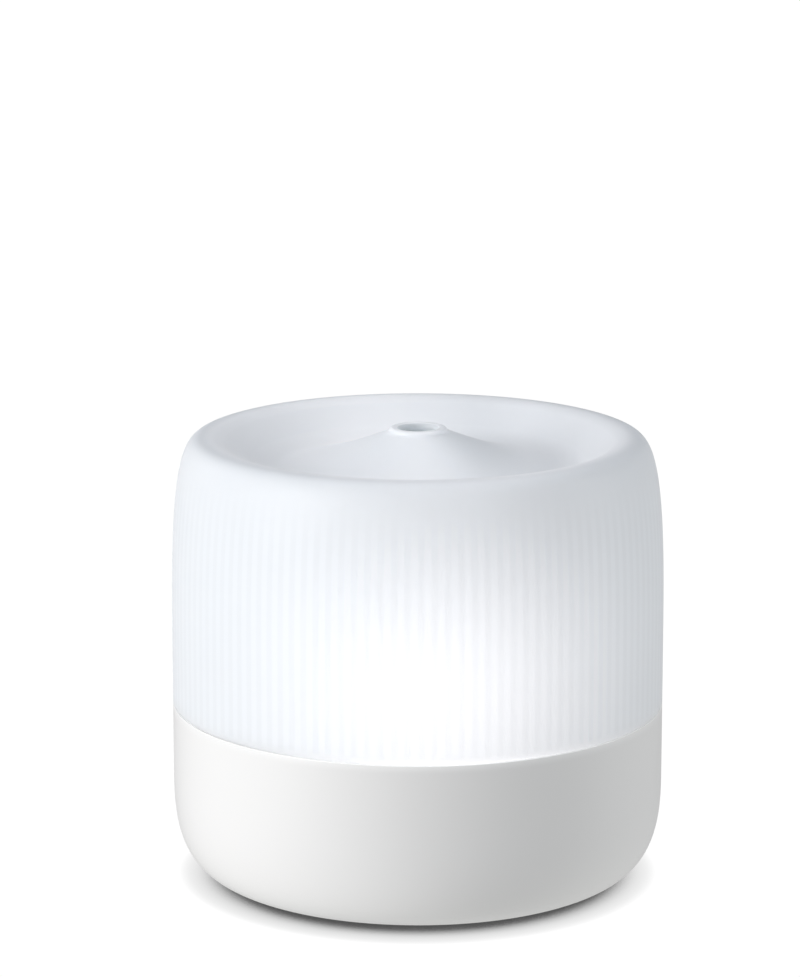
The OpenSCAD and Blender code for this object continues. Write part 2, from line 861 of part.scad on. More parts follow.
lead_r = 0.6;
inlet_back = inlet_face_y - inlet_depth - 4.6;

// The point over a plug on the main board, from its socket upwards
function plug_point(i, up = 0) = off_axis(board_angle, plugs[i][0], plugs[i][1], board_top + plug_h + up);

// The last stretch of a lead, straight down into its plug's socket
function into_plug(i, above) = [plug_point(i, above), plug_point(i, above / 2), plug_point(i, -0.7)];

function off_axis(angle, u, v, z) = [u * cos(angle) - v * sin(angle), u * sin(angle) + v * cos(angle), z];

module inlet_lead() {
    color("#333333") lead_pair(concat(
        [[0.6, inlet_back - 0.05, inlet_z], [0.6, inlet_back - 1.6, inlet_z], [3.5, 38.5, 17.3],
            [14, 32, 18], [23, 22, 20], [25.5, 9, 20.5]],
        into_plug(0, 4)
    ));
}

module fan_lead() {
    color("#333333") lead_pair(concat(
        [off_axis(air_angle, 1.95, 6, 12), off_axis(air_angle, 0.6, 6, 12),
            off_axis(air_angle, -1.2, 7, 12.8), [-5, -9, 16]],
        into_plug(1, 4)
    ));
}

module piezo_lead() {
    color("firebrick") lead_pair(concat(
        [[3, -3, disc_z - 0.05], [3.2, -3.2, 26], [4.5, -4.5, 21]],
        into_plug(2, 3)
    ));
}

module light_lead() {
    color("whitesmoke") lead_pair(concat(
        [[16.8, -16.8, light_z - 0.05], [17, -17, 23.5], [18, -18.5, 20.5]],
        into_plug(3, 2.5)
    ));
}

module switch_lead() {
    color("whitesmoke") lead_pair(concat(
        [[11, switch_board_y - 0.05, 26.5], [11, switch_board_y - 1.6, 26.5], [13, 41, 25], [19, 35, 23],
            [27, 24, 22], [28.2, 13, 22], [27, 3, 21]],
        into_plug(4, 5)
    ));
}

cover();
mist_guide();
water_tank();
air_tower();
tank_gasket();
piezo_seal();
piezo_disc();
piezo_retainer();
piezo_screws();
light_board();
light_chips();
light_board_screws();
base_shell();
base_plate();
base_plate_screws();
rubber_feet();
fan_frame();
fan_bush();
fan_stator();
fan_screws();
fan_rotor();
fan_magnet();
fan_shaft();
air_duct();
main_board();
board_screws();
capacitors();
power_coil();
heat_sink();
driver_chips();
connectors();
switch_board();
switch_housings();
switch_board_screws();
mist_button();
mist_switch_plunger();
light_button();
light_switch_plunger();
power_inlet();
inlet_contacts();
inlet_nut();
inlet_lead();
fan_lead();
piezo_lead();
light_lead();
switch_lead();
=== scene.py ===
import json
import math

import bpy
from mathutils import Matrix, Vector


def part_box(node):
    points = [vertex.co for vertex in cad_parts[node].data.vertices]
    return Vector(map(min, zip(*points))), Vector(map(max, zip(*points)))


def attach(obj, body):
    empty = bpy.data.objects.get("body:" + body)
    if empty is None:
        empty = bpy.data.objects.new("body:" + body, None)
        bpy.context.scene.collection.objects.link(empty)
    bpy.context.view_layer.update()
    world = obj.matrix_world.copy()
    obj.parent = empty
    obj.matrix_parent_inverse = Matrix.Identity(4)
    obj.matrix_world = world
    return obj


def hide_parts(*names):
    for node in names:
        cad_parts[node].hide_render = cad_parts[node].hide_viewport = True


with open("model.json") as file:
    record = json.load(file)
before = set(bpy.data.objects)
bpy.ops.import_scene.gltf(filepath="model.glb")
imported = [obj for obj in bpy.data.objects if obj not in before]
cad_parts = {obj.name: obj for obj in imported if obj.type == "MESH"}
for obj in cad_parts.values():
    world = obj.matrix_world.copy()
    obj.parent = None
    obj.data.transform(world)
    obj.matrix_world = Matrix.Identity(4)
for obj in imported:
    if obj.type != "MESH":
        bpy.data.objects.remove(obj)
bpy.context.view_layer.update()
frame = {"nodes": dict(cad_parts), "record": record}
nodes = frame["nodes"]
mm = 0.001


# ---- Sizes, in millimetres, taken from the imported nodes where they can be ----

def span(node):
    low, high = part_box(node)
    return low / mm, high / mm


cover_low, cover_high = span("cover")
base_low, base_high = span("base_shell")
body_r = (base_high.x - base_low.x) / 2
cover_z, lip_z = cover_low.z, cover_high.z
seam_z, base_z = base_high.z, base_low.z
cover_edge = seam_z + 0.16      # the cover's lower edge, a hairline above the base's rim

wall = 2.2
inner_r = body_r - wall
crest_z = lip_z - 2.1
crest_r = body_r - 8.8
shoulder_h = 54.0
shoulder_power = 3.3
rim_r = 8.0
rim_slope = 33.0
valley_r = 34.0
valley_z = crest_z - 7.3
lip_r = 7.1
lip_edge = 0.85
outlet_r = 4.7
guide_wall = 1.7
guide_top = lip_z - 2.4
cone_power = 1.35
flutes = 120
flute_depth = 0.8
flute_top = crest_z - 10
foot_r = 42.0
corner_h = 26.0
corner_power = 2.85

button_x, button_z, button_r = 13.0, 28.5, 4.0
inlet_y, inlet_z = body_r - 2.6, 17.0
inlet_recess_r, inlet_hole_r = 6.2, 4.1


# ---- Outlines ----

def arc(centre, r, start, end, steps):
    turns = [math.radians(start + (end - start) * i / steps) for i in range(steps + 1)]
    return [(centre[0] + r * math.cos(t), centre[1] + r * math.sin(t)) for t in turns]


def shifted(path, d):
    """The open outline moved to its left by d."""
    pts = [Vector(p) for p in path]
    out = []
    for i, p in enumerate(pts):
        a = (p - pts[i - 1]).normalized() if i else (pts[1] - p).normalized()
        b = (pts[i + 1] - p).normalized() if i + 1 < len(pts) else a
        t = (a + b).normalized()
        out.append((p.x - t.y * d, p.y + t.x * d))
    return out


def shoulder(steps=40):
    """From the straight wall up to the crest of the rolled rim."""
    z0 = crest_z - shoulder_h
    out = []
    for i in range(steps + 1):
        t = math.radians(90 * (i / steps) ** 1.25)
        out.append((crest_r + (body_r - crest_r) * math.cos(t) ** (2 / shoulder_power) if i < steps
                    else crest_r, z0 + shoulder_h * math.sin(t) ** (2 / shoulder_power)))
    return out


def dish(steps=10):
    """Rolled rim, sloping inner wall and the fillet into the valley."""
    s, c = math.sin(math.radians(rim_slope)), math.cos(math.radians(rim_slope))
    end = (crest_r - rim_r * s, crest_z - rim_r * (1 - c))
    run, drop = end[0] - valley_r, end[1] - valley_z
    straight = (drop * s - run * (1 - c)) / (s * s - c * (1 - c))
    fillet = (run - straight * c) / s
    return (arc((crest_r, crest_z - rim_r), rim_r, 90, 90 + rim_slope, steps)[1:]
            + arc((valley_r, valley_z + fillet), fillet, 270 + rim_slope, 270, steps))


def cone(steps=22):
    top = lip_z - 0.9
    return [(valley_r + (lip_r - valley_r) * i / steps,
             valley_z + (top - valley_z) * (i / steps) ** cone_power) for i in range(1, steps + 1)]


def base_corner(steps=44):
    out = []
    for i in range(steps + 1):
        t = math.radians(90 * i / steps)
        out.append((foot_r + (body_r - foot_r) * math.sin(t) ** (2 / corner_power),
                    base_z + corner_h * (1 - (math.cos(t) ** (2 / corner_power) if i < steps else 0))))
    return out


# ---- Making pieces ----

def add(name, data):
    made = bpy.data.objects.new(name, data)
    bpy.context.scene.collection.objects.link(made)
    return made


def placed(mesh, body, instead_of, material):
    """The mesh as a piece of the body, in place of the CAD node."""
    mesh.materials.append(material)
    piece = add(mesh.name, mesh)
    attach(piece, body)
    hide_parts(instead_of)
    return piece


def smoothed(mesh, sharp):
    """Smooth faces, with sharp edges where they turn by more than the angle."""
    for polygon in mesh.polygons:
        polygon.use_smooth = True
    mesh.set_sharp_from_angle(angle=math.radians(sharp))


def turned(name, outline, body, instead_of, material, steps):
    """A closed outline (radius, height), clockwise, turned about the body's axis."""
    mesh = bpy.data.meshes.new(name)
    n = len(outline)
    mesh.from_pydata([Vector((r, 0, z)) * mm for r, z in outline], [(i, (i + 1) % n) for i in range(n)], [])
    piece = placed(mesh, body, instead_of, material)
    screw = piece.modifiers.new("turning", "SCREW")
    screw.axis = "Z"
    screw.angle = 2 * math.pi
    screw.steps = screw.render_steps = steps
    screw.use_merge_vertices = True
    screw.merge_threshold = 1e-6
    screw.use_smooth_shade = True
    return piece


def lying(name, profile, x, z, sides=64):
    """A solid turned about the line along +Y at (x, z). The profile is (radius, y), rear end first."""
    verts, faces = [], []
    for r, y in profile:
        for c in range(sides):
            a = 2 * math.pi * c / sides
            verts.append(Vector((x + r * math.cos(a), y, z + r * math.sin(a))) * mm)
    n = len(profile)
    for i in range(n - 1):
        for c in range(sides):
            d = (c + 1) % sides
            faces.append((i * sides + c, i * sides + d, (i + 1) * sides + d, (i + 1) * sides + c))
    faces.append(tuple(reversed(range(sides))))
    faces.append(tuple((n - 1) * sides + c for c in range(sides)))
    mesh = bpy.data.meshes.new(name)
    mesh.from_pydata(verts, [], faces)
    return mesh


def keep_applied(piece, helpers):
    """The stack becomes the piece's own mesh, and the helpers go."""
    bpy.context.view_layer.update()
    final = bpy.data.meshes.new_from_object(piece.evaluated_get(bpy.context.evaluated_depsgraph_get()))
    piece.modifiers.clear()
    piece.data = final
    for helper in helpers:
        bpy.data.objects.remove(helper, do_unlink=True)


# ---- Finishes ----

class Finish:
    """A node material with a few short-hands for its patterns. All patterns lie on Object coordinates."""

    def __init__(self, name):
        self.material = bpy.data.materials.new(name)
        self.material.use_nodes = True
        self.tree = self.material.node_tree
        self.shader = self.tree.nodes["Principled BSDF"]
        self.place = self.node("ShaderNodeTexCoord").outputs["Object"]

    def node(self, kind, **settings):
        made = self.tree.nodes.new(kind)
        for key, value in settings.items():
            if key in made.inputs:
                made.inputs[key].default_value = value
            else:
                setattr(made, key, value)
        return made

    def link(self, a, b):
        self.tree.links.new(a, b)

    def grain(self, scale, detail):
        noise = self.node("ShaderNodeTexNoise")
        noise.inputs["Scale"].default_value = scale
        noise.inputs["Detail"].default_value = detail
        self.link(self.place, noise.inputs["Vector"])
        return noise.outputs["Fac"]

    def tones(self, value, dark, light):
        """Base colour from dark to light."""
        ramp = self.node("ShaderNodeValToRGB")
        ramp.color_ramp.elements[0].color = (*dark, 1)
        ramp.color_ramp.elements[1].color = (*light, 1)
        self.link(value, ramp.inputs["Fac"])
        self.link(ramp.outputs["Color"], self.shader.inputs["Base Color"])

    def gloss(self, value, smooth, rough):
        """Roughness from smooth to rough."""
        made = self.node("ShaderNodeMapRange")
        made.inputs["To Min"].default_value = smooth
        made.inputs["To Max"].default_value = rough
        self.link(value, made.inputs["Value"])
        self.link(made.outputs["Result"], self.shader.inputs["Roughness"])

    def sums(self, operation, *values, clamp=False):
        """One Math node. Each value is a number or an output."""
        made = self.node("ShaderNodeMath", operation=operation, use_clamp=clamp)
        for socket, value in zip(made.inputs, values):
            if isinstance(value, (int, float)):
                socket.default_value = value
            else:
                self.link(value, socket)
        return made.outputs[0]

    def parts(self, vector):
        made = self.node("ShaderNodeSeparateXYZ")
        self.link(vector, made.inputs[0])
        return made.outputs

    def product(self, ax, ay, bx, by):
        return self.sums("MULTIPLY_ADD", ax, bx, self.sums("MULTIPLY", ay, by))

    def radius(self, x, y):
        return self.sums("SQRT", self.product(x, y, x, y))

    def turn(self, x, y):
        """Angle about the body's axis, 0 at the front."""
        return self.sums("ARCTAN2", x, self.sums("MULTIPLY", y, -1.0))

    def lit_side(self, turn):
        """1 in the middle of the two painted bright fields, at the front and at the rear."""
        spot = self.sums("WRAP", self.sums("SUBTRACT", turn, glow_turn), math.pi / 2, -math.pi / 2)
        return self.bell(spot, 0.0, glow_spread)

    def outer_skin(self, x, y):
        """1 where the surface faces away from the body's axis or up, 0 on the inside."""
        nx, ny, nz = self.parts(self.node("ShaderNodeTexCoord").outputs["Normal"])
        outward = self.sums("ADD", self.sums("DIVIDE", self.product(nx, ny, x, y), self.radius(x, y)), nz)
        return self.sums("MULTIPLY", outward, 3.0, clamp=True)

    def bell(self, value, centre, width):
        """1 at the centre, falling off as a bell curve."""
        off = self.sums("DIVIDE", self.sums("SUBTRACT", value, centre), width)
        return self.sums("EXPONENT", self.sums("MULTIPLY", self.sums("MULTIPLY", off, off), -1.0))

    def ease(self, value, start, end, low=0.0, high=1.0):
        """Runs softly from low at the start to high at the end."""
        made = self.node("ShaderNodeMapRange", interpolation_type="SMOOTHSTEP")
        made.inputs["From Min"].default_value = start
        made.inputs["From Max"].default_value = end
        made.inputs["To Min"].default_value = low
        made.inputs["To Max"].default_value = high
        self.link(value, made.inputs["Value"])
        return made.outputs["Result"]

    def relief(self, height, strength, depth):
        bump = self.node("ShaderNodeBump")
        bump.inputs["Strength"].default_value = strength
        bump.inputs["Distance"].default_value = depth
        self.link(height, bump.inputs["Height"])
        self.link(bump.outputs["Normal"], self.shader.inputs["Normal"])

    def set(self, **sockets):
        for key, value in sockets.items():
            self.shader.inputs[key.replace("_", " ")].default_value = value
        return self


def moulded(name, dark, light, rough=(0.35, 0.45), grain=2500.0, relief=0.15, metallic=0.0):
    """Slightly cloudy tone, with a fine grain in the gloss and in the relief."""
    made = Finish(name)
    made.tones(made.grain(60.0, 3.0), dark, light)
    fine = made.grain(grain, 2.0)
    made.gloss(fine, *rough)
    made.relief(fine, relief, 0.00004)
    made.set(Metallic=metallic)
    return made


# How strongly the flutes show through the cover as painted shade, in its tone and in its glow
flute_shade = 0.03
glow_shade = 0.05

# Painted glow where the light of the chips meets the cover: one bright field at the front and one at the
# rear
glow_turn = math.radians(10)
glow_spread = math.radians(38)
glow_z = 60.0
glow_height = 40.0
glow_peak = 0.48
glow_everywhere = 0.05

# The painted light on the dished top, and the painted glow of the base's rim just under the cover
top_glow = 0.14
rim_glow = 0.22


def frosted_plastic():
    """Cool white, with a painted glow for the light of the ring of chips inside, and the flutes showing
    through from the back as painted shade.
    """
    made = moulded("frosted_cover", (0.71, 0.748, 0.777), (0.727, 0.764, 0.792), rough=(0.43, 0.47),
                   grain=45.0, relief=0.0)
    x, y, z = made.parts(made.place)
    turn = made.turn(x, y)

    # Painted shade of the inner flutes, darkening the base colour in stripes
    wave = made.sums("SINE", made.sums("MULTIPLY", turn, float(flutes)))
    where = made.sums("MULTIPLY", made.ease(z, (flute_top + 7) * mm, (flute_top - 9) * mm),
                      made.ease(z, (cover_z + 0.3) * mm, (cover_z + 2) * mm))
    shade = made.sums("MULTIPLY", made.ease(wave, -0.6, 0.6), where)
    mix = made.node("ShaderNodeMix", data_type="RGBA", blend_type="MULTIPLY")
    colour = made.shader.inputs["Base Color"].links[0].from_socket
    made.link(made.sums("MULTIPLY", shade, flute_shade), mix.inputs["Factor"])
    made.link(colour, mix.inputs[6])
    mix.inputs[7].default_value = (0.0, 0.0, 0.0, 1)
    made.link(mix.outputs[2], made.shader.inputs["Base Color"])

    # Painted glow of the chips' light in two bright fields, dimmed along the flutes
    shine = made.sums("MULTIPLY", made.lit_side(turn), made.bell(z, glow_z * mm, glow_height * mm))
    shine = made.sums("MULTIPLY_ADD", shine, glow_peak, glow_everywhere)
    shine = made.sums("MULTIPLY", shine, made.sums("MULTIPLY_ADD", shade, -glow_shade, 1.0))

    # Painted light and shade on the dished top: brighter on its left and at its far right
    top = made.sums("MULTIPLY", made.ease(z, (crest_z - 12) * mm, (crest_z - 8) * mm),
                    made.ease(made.radius(x, y), (crest_r + 2) * mm, (crest_r - 1.5) * mm))
    share = made.sums("ADD", made.ease(x, 0.022, -0.02, 0.15, 0.8), made.ease(x, 0.012, 0.03, 0.0, 0.5))
    top = made.sums("MULTIPLY", top, share)
    shine = made.sums("MULTIPLY_ADD", top, top_glow, shine)

    # The painted glow shows on the outer skin and along the cover's lower edge
    lower_edge = made.ease(z, (cover_edge + 0.5) * mm, (cover_edge + 0.2) * mm)
    skin = made.sums("ADD", made.outer_skin(x, y), lower_edge, clamp=True)
    made.link(made.sums("MULTIPLY", shine, skin), made.shader.inputs["Emission Strength"])
    made.set(Emission_Color=(1.0, 0.96, 0.97, 1), IOR=1.45, Specular_IOR_Level=0.25,
             Transmission_Weight=0.05, Subsurface_Weight=1.0, Subsurface_Scale=0.004,
             Subsurface_Radius=(1.0, 1.0, 1.0))
    return made


frosted = frosted_plastic()

white_gloss = moulded("white_base", (0.801, 0.805, 0.795), (0.804, 0.808, 0.798), rough=(0.27, 0.29),
                      grain=35.0, relief=0.0)
white_gloss.set(IOR=1.5)


def lit_rim(made):
    """Painted glow on the top of the base's rim, for light from the cover's edge."""
    x, y, z = made.parts(made.place)
    near = made.sums("ADD", made.ease(z, (seam_z - 2.2) * mm, seam_z * mm, 0.0, 0.35),
                     made.ease(z, (seam_z - 0.3) * mm, (seam_z - 0.05) * mm, 0.0, 0.65))
    near = made.sums("MULTIPLY", near, made.sums("MULTIPLY_ADD", made.lit_side(made.turn(x, y)), 0.6, 0.4))
    made.link(made.sums("MULTIPLY", near, rim_glow), made.shader.inputs["Emission Strength"])
    made.set(Emission_Color=(0.97, 0.99, 1.0, 1))


lit_rim(white_gloss)

natural = moulded("natural_plastic", (0.78, 0.8, 0.8), (0.84, 0.85, 0.85), rough=(0.35, 0.5))
natural.set(Alpha=0.5)
tank_white = moulded("tank_plastic", (0.8, 0.82, 0.83), (0.86, 0.87, 0.88), rough=(0.3, 0.45))
tank_white.set(Alpha=0.55)
plate_white = moulded("plate_plastic", (0.72, 0.72, 0.71), (0.78, 0.78, 0.77), rough=(0.5, 0.65),
                      grain=3500.0, relief=0.5)
dark_rubber = moulded("dark_rubber", (0.012, 0.012, 0.012), (0.03, 0.03, 0.03), rough=(0.7, 0.9),
                      grain=4000.0, relief=0.4)
light_silicone = moulded("light_silicone", (0.55, 0.56, 0.56), (0.65, 0.66, 0.66), rough=(0.55, 0.7))
black_plastic = moulded("black_plastic", (0.008, 0.008, 0.009), (0.02, 0.02, 0.021), rough=(0.35, 0.5),
                        relief=0.3)
steel = moulded("zinc_plated_steel", (0.45, 0.45, 0.46), (0.62, 0.62, 0.63), rough=(0.25, 0.4),
                grain=6000.0, metallic=1.0)
aluminium = moulded("can_aluminium", (0.6, 0.61, 0.62), (0.75, 0.76, 0.77), rough=(0.25, 0.35),
                    metallic=1.0)
brass = moulded("bush_brass", (0.5, 0.33, 0.13), (0.66, 0.46, 0.2), rough=(0.2, 0.35), metallic=1.0)
copper = moulded("copper_winding", (0.35, 0.12, 0.04), (0.6, 0.26, 0.1), rough=(0.25, 0.4), metallic=1.0)
nickel = moulded("contact_nickel", (0.55, 0.53, 0.48), (0.7, 0.68, 0.62), rough=(0.2, 0.3), metallic=1.0)
ferrite = moulded("magnet_ferrite", (0.04, 0.04, 0.045), (0.09, 0.09, 0.095), rough=(0.5, 0.7))
board_green = moulded("board_green", (0.004, 0.06, 0.02), (0.01, 0.12, 0.045), rough=(0.3, 0.45))
board_white = moulded("board_white", (0.7, 0.71, 0.71), (0.8, 0.81, 0.81), rough=(0.35, 0.5))
ivory = moulded("connector_nylon", (0.66, 0.6, 0.46), (0.75, 0.69, 0.55), rough=(0.4, 0.55))
black_wire = moulded("black_insulation", (0.01, 0.01, 0.01), (0.02, 0.02, 0.02), rough=(0.4, 0.5))
red_wire = moulded("red_insulation", (0.35, 0.01, 0.01), (0.5, 0.02, 0.02), rough=(0.4, 0.5))
white_wire = moulded("white_insulation", (0.66, 0.66, 0.64), (0.75, 0.75, 0.73), rough=(0.4, 0.5))
chip = moulded("light_chip", (0.8, 0.75, 0.4), (0.9, 0.86, 0.55), rough=(0.2, 0.3))
chip.set(Emission_Color=(0.85, 0.92, 1.0, 1), Emission_Strength=6.0)


def banded(made, kind, axis, scale, strength, depth, dark=None, light=None):
    """Turned rings or wound bands: relief, and a change of tone when two tones are given."""
    wave = made.node("ShaderNodeTexWave", wave_type=kind, wave_profile="SIN")
    setattr(wave, "rings_direction" if kind == "RINGS" else "bands_direction", axis)
    wave.inputs["Scale"].default_value = scale
    wave.inputs["Distortion"].default_value = 0.4
    wave.inputs["Detail"].default_value = 1.0
    made.link(made.place, wave.inputs["Vector"])
    made.relief(wave.outputs["Fac"], strength, depth)
    if dark:
        made.tones(wave.outputs["Fac"], dark, light)


def printed(made, copper_tone):
    """Tracks and pads under the lacquer of a circuit board."""
    pitch = 0.0045
    bricks = made.node("ShaderNodeTexBrick", offset=0.5)
    bricks.inputs["Scale"].default_value = 1.0
    bricks.inputs["Brick Width"].default_value = pitch * 2.2
    bricks.inputs["Row Height"].default_value = pitch
    bricks.inputs["Mortar Size"].default_value = 0.00022
    bricks.inputs["Mortar Smooth"].default_value = 0.1
    made.link(made.place, bricks.inputs["Vector"])
    mix = made.node("ShaderNodeMix", data_type="RGBA")
    made.link(bricks.outputs["Fac"], mix.inputs["Factor"])
    made.link(made.shader.inputs["Base Color"].links[0].from_socket, mix.inputs[6])
    mix.inputs[7].default_value = (*copper_tone, 1)
    made.link(mix.outputs[2], made.shader.inputs["Base Color"])
    made.relief(bricks.outputs["Fac"], 0.4, 0.00003)
    made.set(Coat_Weight=0.4, Coat_Roughness=0.2)


plated = moulded("plated_disc", (0.5, 0.49, 0.46), (0.68, 0.67, 0.64), rough=(0.22, 0.32), metallic=1.0)
banded(plated, "RINGS", "Z", 700.0, 0.25, 0.00001)
banded(copper, "BANDS", "Z", 1600.0, 0.6, 0.00004, (0.3, 0.1, 0.03), (0.62, 0.27, 0.1))
printed(board_green, (0.02, 0.2, 0.08))
printed(board_white, (0.62, 0.6, 0.55))

slot_finish = {
    "frosted_cover": frosted, "natural_plastic": natural, "tank_plastic": tank_white,
    "dark_rubber": dark_rubber, "light_silicone": light_silicone, "plated_disc": plated,
    "screw_steel": steel, "board_white": board_white, "light_chip": chip, "base_white": white_gloss,
    "plate_white": plate_white, "black_plastic": black_plastic, "bush_brass": brass,
    "copper_winding": copper, "magnet_ferrite": ferrite, "board_green": board_green,
    "can_aluminium": aluminium, "connector_ivory": ivory, "contact_metal": nickel,
    "black_insulation": black_wire, "red_insulation": red_wire, "white_insulation": white_wire,
}
for part in frame["record"]["subparts"]:
    mesh = nodes[part["node"]].data
    mesh.materials.clear()
    mesh.materials.append(slot_finish[part["material_slot"]].material)


# ---- Cover: smooth outside, fluted inside ----

def cover_sections():
    """Rows of the shell, clockwise from the outside's bottom edge, each with its share of the flutes."""
    outside = [(body_r, z) for z in (cover_edge + 0.12, 47, 50, 53)] + shoulder() + dish() + cone()
    lip = (arc((lip_r - lip_edge, lip_z - lip_edge), lip_edge, 0, 90, 6)
           + arc((outlet_r + lip_edge, lip_z - lip_edge), lip_edge, 90, 180, 6))
    inside = [p for p in shifted(outside, wall) if p[0] > lip_r + 0.6 and p[1] > cover_z + 1.5]
    rows = [(r, z, 0.0) for r, z in outside]
    rows += [(r, z, 0.0) for r, z in lip]
    rows += [(outlet_r, guide_top, 0.0)]
    for r, z in reversed(inside):
        share = 0.0
        if r > inner_r - 9:
            share = min(1.0, max(0.0, (flute_top - z) / 8)) * min(1.0, max(0.0, (z - cover_z - 1.0) / 0.8))
        rows.append((r, z, share))
    rows += [(inner_r, cover_z + 1.6, 0.75), (inner_r, cover_z + 0.9, 0.0),
             (inner_r + 0.1, cover_edge + 0.15, 0.0), (inner_r + 0.3, cover_edge, 0.0),
             (body_r - 0.15, cover_edge, 0.0), (body_r - 0.04, cover_edge + 0.04, 0.0)]
    return rows


def fluted_cover():
    """Rings of points, six to a flute, drawn inwards on the flutes' ridges."""
    rows = cover_sections()
    per_flute = 6
    columns = flutes * per_flute
    verts, faces = [], []
    for r, z, share in rows:
        for c in range(columns):
            a = 2 * math.pi * c / columns
            ridge = 0.5 - 0.5 * math.cos(2 * math.pi * c / per_flute)
            q = r - flute_depth * share * ridge
            verts.append(Vector((q * math.cos(a), q * math.sin(a), z)) * mm)
    n = len(rows)
    for i in range(n):
        j = (i + 1) % n
        for c in range(columns):
            d = (c + 1) % columns
            faces.append((i * columns + c, i * columns + d, j * columns + d, j * columns + c))
    mesh = bpy.data.meshes.new("cover_shell")
    mesh.from_pydata(verts, [], faces)
    mesh.validate()
    for polygon in mesh.polygons:
        polygon.use_smooth = True
    placed(mesh, "cover", "cover", frosted.material)


fluted_cover()


# ---- Mist guide ----

def mist_guide():
    """Straight tube under the outlet, flaring to a bell at its lower end."""
    low, high = span("mist_guide")
    tube = outlet_r + guide_wall
    bell_z, bell_h, bell_w, steps = low.z + 1.2, 20, 14, 24
    bell = [(tube + bell_w * (i / steps) ** 2, bell_z + bell_h * (1 - i / steps)) for i in range(steps + 1)]
    inner = shifted(bell, -guide_wall)
    outline = [(outlet_r, high.z), (tube, high.z)] + bell + list(reversed(inner))
    turned("mist_tube", outline, "cover", "mist_guide", natural.material, 96)


mist_guide()


# ---- Base shell ----

def base_cup():
    """Turned cup with a rabbeted rim, and the holes for the buttons and the inlet cut in its rear."""
    outside = base_corner()
    inside = shifted(outside, wall)
    rim_edge, rabbet = 0.18, 1.5
    rim = arc((body_r - rim_edge, seam_z - rim_edge), rim_edge, 0, 90, 5)
    step = [(body_r - 1, seam_z), (body_r - 1, seam_z - rabbet), (inner_r, seam_z - rabbet)]
    outline = outside + [(body_r, 32), (body_r, 38), (body_r, 42)] + rim + step + list(reversed(inside))
    outline.reverse()
    cup = turned("base_cup", outline, "base", "base_shell", white_gloss.material, 256)
    hole_r, within, beyond = button_r + 0.3, 50, body_r + 2
    button_hole = [(hole_r + 0.7, beyond), (hole_r, body_r - 0.45), (hole_r, within)]
    inlet_hole = [(inlet_recess_r + 1, beyond), (inlet_recess_r, body_r - 0.5), (inlet_recess_r, inlet_y),
                  (inlet_hole_r, inlet_y), (inlet_hole_r, within)]
    cuts = [lying("button_hole", button_hole, x, button_z) for x in (-button_x, button_x)]
    cuts.append(lying("inlet_hole", inlet_hole, 0, inlet_z))
    helpers = []
    for mesh in cuts:
        helper = add(mesh.name, mesh)
        cutting = cup.modifiers.new(mesh.name, "BOOLEAN")
        cutting.operation = "DIFFERENCE"
        cutting.solver = "EXACT"
        cutting.object = helper
        helpers.append(helper)
    keep_applied(cup, helpers)
    cup.data.set_sharp_from_angle(angle=math.radians(32))


def button_cap(name, node, body, x):
    """Shallow dished cap with a rounded edge, on a collar behind the wall."""
    face = body_r + 0.15
    edge, collar_r, stem_r, stem_y = 0.5, button_r + 1.2, 2.2, 51.25
    profile = [(0.001, face - 0.35), (1.8, face - 0.3), (3.0, face - 0.08), (3.4, face)]
    for a in (20, 45, 70, 90):
        t = math.radians(a)
        profile.append((button_r - edge + edge * math.sin(t), face - edge + edge * math.cos(t)))
    profile += [(button_r, body_r - 4), (button_r, body_r - 5.68), (collar_r - 0.1, body_r - 5.72),
                (collar_r, body_r - 5.8), (collar_r, body_r - 6.6), (collar_r - 0.1, body_r - 6.7),
                (stem_r, body_r - 6.72), (stem_r, stem_y)]
    mesh = lying(name, profile, x, button_z, 48)
    smoothed(mesh, 40)
    placed(mesh, body, node, white_gloss.material)


base_cup()
button_cap("mist_cap", "mist_button", "mist_button", -button_x)
button_cap("light_cap", "light_button", "light_button", button_x)


# ---- Light, floor and camera ----

def glow(name, at, power, radius):
    """Light from the ring of chips, gathered where it leaves the tank."""
    lamp = bpy.data.lights.new(name, "POINT")
    lamp.energy = power
    lamp.shadow_soft_size = radius
    lamp.color = (0.95, 0.98, 1.0)
    add(name, lamp).location = at


def softbox(name, at, aim, size, power, colour=(1, 1, 1)):
    lamp = bpy.data.lights.new(name, "AREA")
    lamp.shape = "RECTANGLE"
    lamp.size, lamp.size_y = size
    lamp.energy = power
    lamp.color = colour
    holder = add(name, lamp)
    holder.location = at
    holder.rotation_euler = (Vector(aim) - Vector(at)).to_track_quat("-Z", "Y").to_euler()


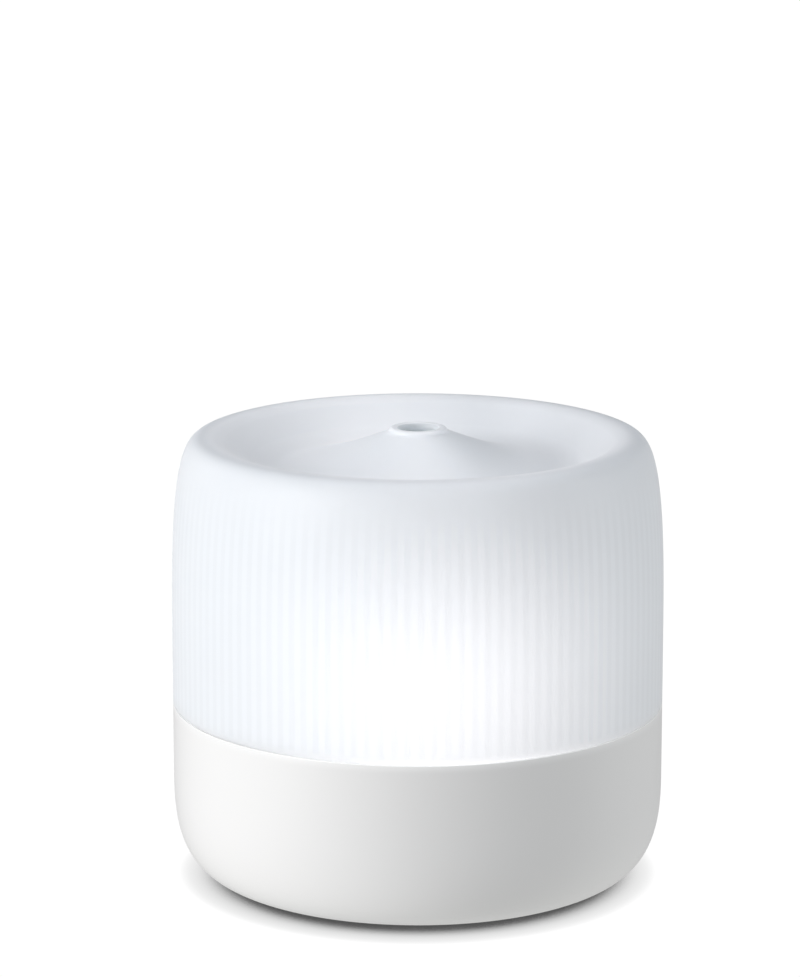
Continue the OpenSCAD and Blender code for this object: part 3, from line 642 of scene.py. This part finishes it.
def room():
    """Grey all round for the light, brighter below, and plain white for the camera."""
    world = bpy.data.worlds.new("studio")
    bpy.context.scene.world = world
    world.use_nodes = True
    tree = world.node_tree
    back = tree.nodes["Background"]
    up = tree.nodes.new("ShaderNodeSeparateXYZ")
    tree.links.new(tree.nodes.new("ShaderNodeTexCoord").outputs["Generated"], up.inputs[0])
    height = tree.nodes.new("ShaderNodeMapRange")
    height.inputs["From Min"].default_value = -1
    tree.links.new(up.outputs["Z"], height.inputs["Value"])
    sky = tree.nodes.new("ShaderNodeValToRGB")
    tree.links.new(height.outputs["Result"], sky.inputs["Fac"])
    sky.color_ramp.elements[0].position = 0.0
    sky.color_ramp.elements[0].color = (0.9, 0.9, 0.89, 1)
    sky.color_ramp.elements[1].position = 1.0
    sky.color_ramp.elements[1].color = (0.43, 0.45, 0.49, 1)
    middle = sky.color_ramp.elements.new(0.5)
    middle.color = (0.32, 0.32, 0.325, 1)
    tree.links.new(sky.outputs["Color"], back.inputs["Color"])
    white = tree.nodes.new("ShaderNodeBackground")
    white.inputs["Color"].default_value = (1, 1, 1, 1)
    white.inputs["Strength"].default_value = 1.05
    path = tree.nodes.new("ShaderNodeLightPath")
    mix = tree.nodes.new("ShaderNodeMixShader")
    tree.links.new(path.outputs["Is Camera Ray"], mix.inputs["Fac"])
    tree.links.new(back.outputs[0], mix.inputs[1])
    tree.links.new(white.outputs[0], mix.inputs[2])
    tree.links.new(mix.outputs[0], tree.nodes["World Output"].inputs["Surface"])


# Painted contact shadow: tone of the floor against how open it is to the room, from right under the edge of
# the base outwards
floor_shadow_tones = ((0.134, 0.184), (0.171, 0.345), (0.237, 0.505), (0.332, 0.646), (0.441, 0.746),
               (0.572, 0.807), (0.711, 0.854), (0.82, 0.912), (0.9, 0.945))


def pale_floor():
    """White sheet with a painted soft shadow line where the base stands on it."""
    mesh = bpy.data.meshes.new("floor")
    half = 6.0
    corners = [(-half, -half, 0), (half, -half, 0), (half, half, 0), (-half, half, 0)]
    mesh.from_pydata(corners, [], [(0, 1, 2, 3)])
    floor = add("floor", mesh)
    paper = Finish("pale_floor")
    near = paper.node("ShaderNodeAmbientOcclusion")
    near.samples = 16
    near.inputs["Distance"].default_value = 0.0065
    shade = paper.node("ShaderNodeValToRGB")
    stops = shade.color_ramp.elements
    stops[0].position, stops[0].color = 0.11, (0.08, 0.08, 0.08, 1)
    stops[1].position, stops[1].color = 0.97, (1, 1, 1, 1)
    for at, grey in floor_shadow_tones:
        stops.new(at).color = (grey, grey, grey, 1)
    paper.link(near.outputs["AO"], shade.inputs["Fac"])
    paper.link(shade.outputs["Color"], paper.shader.inputs["Emission Color"])
    paper.set(Base_Color=(0, 0, 0, 1), Specular_IOR_Level=0.0, Roughness=1.0, Emission_Strength=1.02)
    mesh.materials.append(paper.material)
    floor.visible_diffuse = False
    floor.visible_glossy = False
    floor.visible_transmission = False


def camera():
    data = bpy.data.cameras.new("camera")
    data.lens = 151.73
    data.sensor_width = 36
    data.clip_start = 0.01
    holder = add("camera", data)
    looks_down, looks_left = 12.491, 0.2546
    holder.location = (0, -0.9769, 0.3127)
    holder.rotation_euler = (math.radians(90 - looks_down), 0, math.radians(looks_left))
    bpy.context.scene.camera = holder


middle = (0, 0, 0.06)
glow("middle_glow", (0, 0, 0.085), 0.015, 0.012)
softbox("key", (-1.25, -0.74, 0.45), middle, (0.7, 1.2), 22.3, (1.0, 0.984, 0.988))
softbox("fill", (1.2, 0.0, 0.35), middle, (0.4, 0.9), 5.5)
room()
pale_floor()
camera()
bpy.context.scene.view_settings.view_transform = "Standard"
